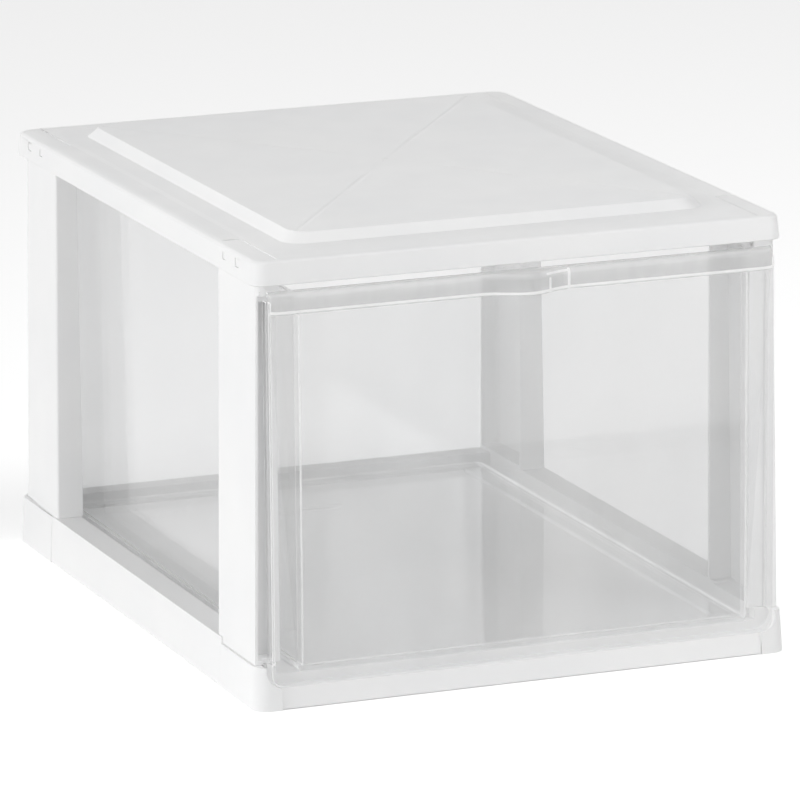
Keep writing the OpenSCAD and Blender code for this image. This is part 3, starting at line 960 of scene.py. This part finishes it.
# ---- materials ----
NOISE_LOW, NOISE_HIGH = 0.35, 0.65     # nearly all of a noise lies between these
PLASTIC_IOR = 1.49
WHITE_LOW = (0.885, 0.887, 0.89)
WHITE_HIGH = (0.91, 0.91, 0.908)
WHITE_ROUGH = (0.36, 0.48)
RIPPLE_HEIGHT = 0.06 * MM              # of the white moulding's bump
GRAIN_HEIGHT = 0.02 * MM
FLOW_HEIGHT = 0.4 * MM                 # of the clear moulding's bump
STREAK_HEIGHT = 0.005 * MM
MIRROR_LEAST = 0.04                    # share of light that a clear face mirrors head on
MIRROR_MOST = 0.06                     # the same where its surface is smeared
MIRROR_GRAZING = 0.95                  # what is added at a grazing angle
MIRROR_POWER = 5.0                     # how late it is added
ROUGH_SMEAR = 0.06                     # roughness added where the surface is smeared
OPEN_TINT = (0.995, 0.995, 0.995, 1)   # for light that passes a clear face on its way


def noise(tree, scale, stretch=(1, 1, 1), detail=3.0):
    """Noise in the piece's own coordinates, with scale in features to the metre."""
    place = node(tree, "ShaderNodeTexCoord")
    spread = node(tree, "ShaderNodeMapping")
    spread.inputs["Scale"].default_value = stretch
    made = node(tree, "ShaderNodeTexNoise", Scale=scale, Detail=detail)
    link(tree, place, "Object", spread, "Vector")
    link(tree, spread, 0, made, "Vector")
    return made


def spread_over(tree, source, low, high):
    """A noise turned into a value between low and high."""
    made = node(tree, "ShaderNodeMapRange")
    for name, value in (("From Min", NOISE_LOW), ("From Max", NOISE_HIGH),
                        ("To Min", low), ("To Max", high)):
        made.inputs[name].default_value = value
    link(tree, source, 0, made, "Value")
    return made


def colour_between(tree, source, low, high):
    """Colour ramp between two colours, driven by a noise."""
    ramp = node(tree, "ShaderNodeValToRGB")
    stops = ramp.color_ramp.elements
    stops[0].position, stops[1].position = NOISE_LOW, NOISE_HIGH
    stops[0].color, stops[1].color = (*low, 1), (*high, 1)
    link(tree, source, 0, ramp, 0)
    return ramp


def bump_from(tree, *layers):
    """Bump built up from (noise, height in metres) layers."""
    below = None
    for source, height in layers:
        bump = node(tree, "ShaderNodeBump", Distance=height, Strength=1.0)
        link(tree, source, 0, bump, "Height")
        if below:
            link(tree, below, "Normal", bump, "Normal")
        below = bump
    return below


def white_plastic():
    """Moulded white plastic, slightly uneven in colour and gloss.

    Its bump is a fine grain over faint upright flow ripples.
    """
    material, tree = new_material("white_plastic")
    shader = node(tree, "ShaderNodeBsdfPrincipled", IOR=PLASTIC_IOR)
    patches = noise(tree, scale=14.0)
    cloud = noise(tree, scale=60.0)
    grain = noise(tree, scale=2600.0, detail=2.0)
    ripple = noise(tree, scale=55.0, stretch=(1.0, 1.0, 0.15), detail=1.0)
    colour = colour_between(tree, patches, WHITE_LOW, WHITE_HIGH)
    rough = spread_over(tree, cloud, *WHITE_ROUGH)
    bump = bump_from(tree, (ripple, RIPPLE_HEIGHT), (grain, GRAIN_HEIGHT))
    out = node(tree, "ShaderNodeOutputMaterial")
    link(tree, colour, 0, shader, "Base Color")
    link(tree, rough, 0, shader, "Roughness")
    link(tree, bump, "Normal", shader, "Normal")
    link(tree, shader, 0, out, 0)
    return material


def clear_plastic(name, low_tint, high_tint, haze, metallic, roughness, body=0.98):
    """Thin clear plastic: a tint for what is seen through it, mixed with a surface that shines.

    The surface's share grows at a grazing angle, and haze is added to it everywhere. With
    metallic 1 the surface is a mirror, and with 0 a glossy plastic as grey as body says.
    Shadow rays and bounced light pass nearly unhindered, as they do real clear walls.
    """
    material, tree = new_material(name)
    flow = noise(tree, scale=9.0, stretch=(1.0, 1.0, 0.4))
    smear = noise(tree, scale=40.0, stretch=(1.0, 1.0, 0.3))
    streak = noise(tree, scale=160.0, stretch=(1.0, 1.0, 0.08))
    through = node(tree, "ShaderNodeBsdfTransparent")
    gloss = node(tree, "ShaderNodeBsdfPrincipled", Metallic=metallic, IOR=PLASTIC_IOR)
    gloss.inputs["Base Color"].default_value = (body, body, body, 1)
    tint = colour_between(tree, flow, low_tint, high_tint)
    rough = spread_over(tree, smear, roughness, roughness + ROUGH_SMEAR)
    bump = bump_from(tree, (flow, FLOW_HEIGHT), (streak, STREAK_HEIGHT))
    facing = node(tree, "ShaderNodeLayerWeight", Blend=0.5)
    grazing = node(tree, "ShaderNodeMath", operation="POWER")
    grazing.inputs[1].default_value = MIRROR_POWER
    share = node(tree, "ShaderNodeMath", operation="MULTIPLY_ADD", use_clamp=True)
    share.inputs[1].default_value = MIRROR_GRAZING
    clouding = spread_over(tree, smear, MIRROR_LEAST + haze, MIRROR_MOST + haze * 1.2)
    main = node(tree, "ShaderNodeMixShader")
    open_way = node(tree, "ShaderNodeBsdfTransparent", Color=OPEN_TINT)
    path = node(tree, "ShaderNodeLightPath")
    bounced = node(tree, "ShaderNodeMixShader")
    lit = node(tree, "ShaderNodeMixShader")
    out = node(tree, "ShaderNodeOutputMaterial")
    link(tree, tint, 0, through, "Color")
    link(tree, rough, 0, gloss, "Roughness")
    link(tree, bump, "Normal", gloss, "Normal")
    link(tree, facing, "Facing", grazing, 0)
    link(tree, grazing, 0, share, 0)
    link(tree, clouding, 0, share, 2)
    link(tree, share, 0, main, 0)
    link(tree, through, 0, main, 1)
    link(tree, gloss, 0, main, 2)
    link(tree, path, "Is Diffuse Ray", bounced, 0)
    link(tree, main, 0, bounced, 1)
    link(tree, open_way, 0, bounced, 2)
    link(tree, path, "Is Shadow Ray", lit, 0)
    link(tree, bounced, 0, lit, 1)
    link(tree, open_way, 0, lit, 2)
    link(tree, lit, 0, out, 0)
    return material


WHITE = white_plastic()
CLEAR = clear_plastic("clear_plastic", (0.936, 0.937, 0.938), (0.947, 0.947, 0.947),
                      haze=0.0, metallic=1.0, roughness=0.03)
# painted highlight: a lighter, hazier surface that stands in for the light that clear edges gather
PAINTED_HIGHLIGHT = clear_plastic("clear_painted_highlight", (0.96, 0.96, 0.96), (0.98, 0.98, 0.98),
                     haze=0.65, metallic=0.0, roughness=0.4)
THICK = clear_plastic("clear_thick", (0.925, 0.927, 0.928), (0.94, 0.941, 0.941),
                      haze=0.45, metallic=0.0, roughness=0.2, body=0.7)

# ---- the scene ----
add_camera()
build_top_panel()
build_base_frame()
for post_name, post_side_x, post_side_y in (
        ("pillar_front_left", -1, -1), ("pillar_front_right", 1, -1),
        ("pillar_back_left", -1, 1), ("pillar_back_right", 1, 1)):
    build_post(post_name, post_side_x, post_side_y)
build_drawer()
add_world()
add_floor()
for lamp_values in LAMPS:
    add_lamp(*lamp_values)
bpy.context.scene.view_settings.view_transform = "Standard"
# a ray passes more clear faces than Blender allows at first, and light bounces between the
# white walls behind them
bpy.context.scene.cycles.transparent_max_bounces = 32
bpy.context.scene.cycles.diffuse_bounces = 6
